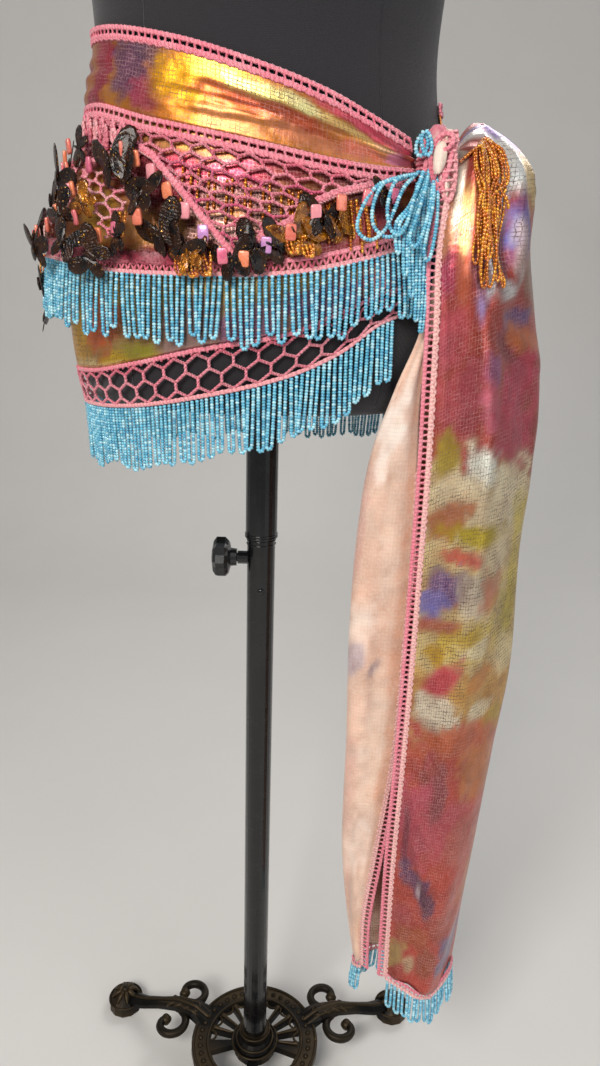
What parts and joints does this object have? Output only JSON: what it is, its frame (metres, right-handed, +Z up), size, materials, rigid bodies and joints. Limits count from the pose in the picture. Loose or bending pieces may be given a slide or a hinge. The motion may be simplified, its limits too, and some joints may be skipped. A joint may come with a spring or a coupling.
{
  "type": "beaded hip belt on a dress form stand",
  "caption": "Foil cloth hip belt with crocheted nets, bead fringes and a long side sash, tied on a limbless dress form on a pole stand with a cast base.",
  "frame": {"origin": "on the floor, under the centre of the whole part's box", "axes": "+Z up along the pole, -Y towards the front of the form, +X towards the side where the belt is tied"},
  "size_m": [0.4222, 0.3282, 1.5093],
  "materials": {
    "cast_iron": "black with a worn bronze sheen",
    "pole": "gloss black",
    "plastic": "gloss black",
    "form_cover": "matte black knit",
    "foil_cloth": "gauze weave printed with many-coloured metallic foil",
    "cloth_reverse": "unfoiled cream reverse",
    "crochet": "pink twisted yarn",
    "turquoise_beads": "glossy opaque seed beads",
    "amber_beads": "clear amber seed beads"
  },
  "bodies": {
    "stand": {"base_casting": "cast_iron", "lower_tube": "pole"},
    "knob": {"clamp_knob": "plastic"},
    "riser": {"inner_rod": "pole"},
    "form": {"form_sleeve": "pole", "neck_cap": "plastic", "dress_form": "form_cover", "upper_band": "foil_cloth", "skirt_panel": "foil_cloth", "hem_panel": "foil_cloth", "sash_front_end": "foil_cloth", "sash_rear_end": "cloth_reverse", "band_top_edging": "crochet", "band_seam_edging": "crochet", "hem_net_front": "crochet", "hem_net_back": "crochet", "front_fan": "crochet", "side_fan": "crochet", "front_fan_border": "crochet", "side_fan_border": "crochet", "sash_front_edging": "crochet", "sash_rear_edging": "crochet", "knot": "crochet", "upper_fringe": "turquoise_beads", "lower_fringe": "turquoise_beads", "knot_strings": "turquoise_beads", "sash_front_fringe": "turquoise_beads", "sash_rear_fringe": "turquoise_beads", "amber_strings": "amber_beads"}
  },
  "joints": [
    {"name": "clamp_turn", "type": "hinge", "parent": "stand", "child": "knob", "pos_m": [-0.05344, 0.04092, 0.63], "axis": [-1, 0, 0], "continuous": true},
    {"name": "height_slide", "type": "slide", "parent": "stand", "child": "riser", "axis": [0, 0, 1], "range_m": [0, 0.2]},
    {"name": "form_turn", "type": "hinge", "parent": "riser", "child": "form", "pos_m": [-0.02344, 0.04092, 0.7], "axis": [0, 0, 1], "continuous": true}
  ]
}
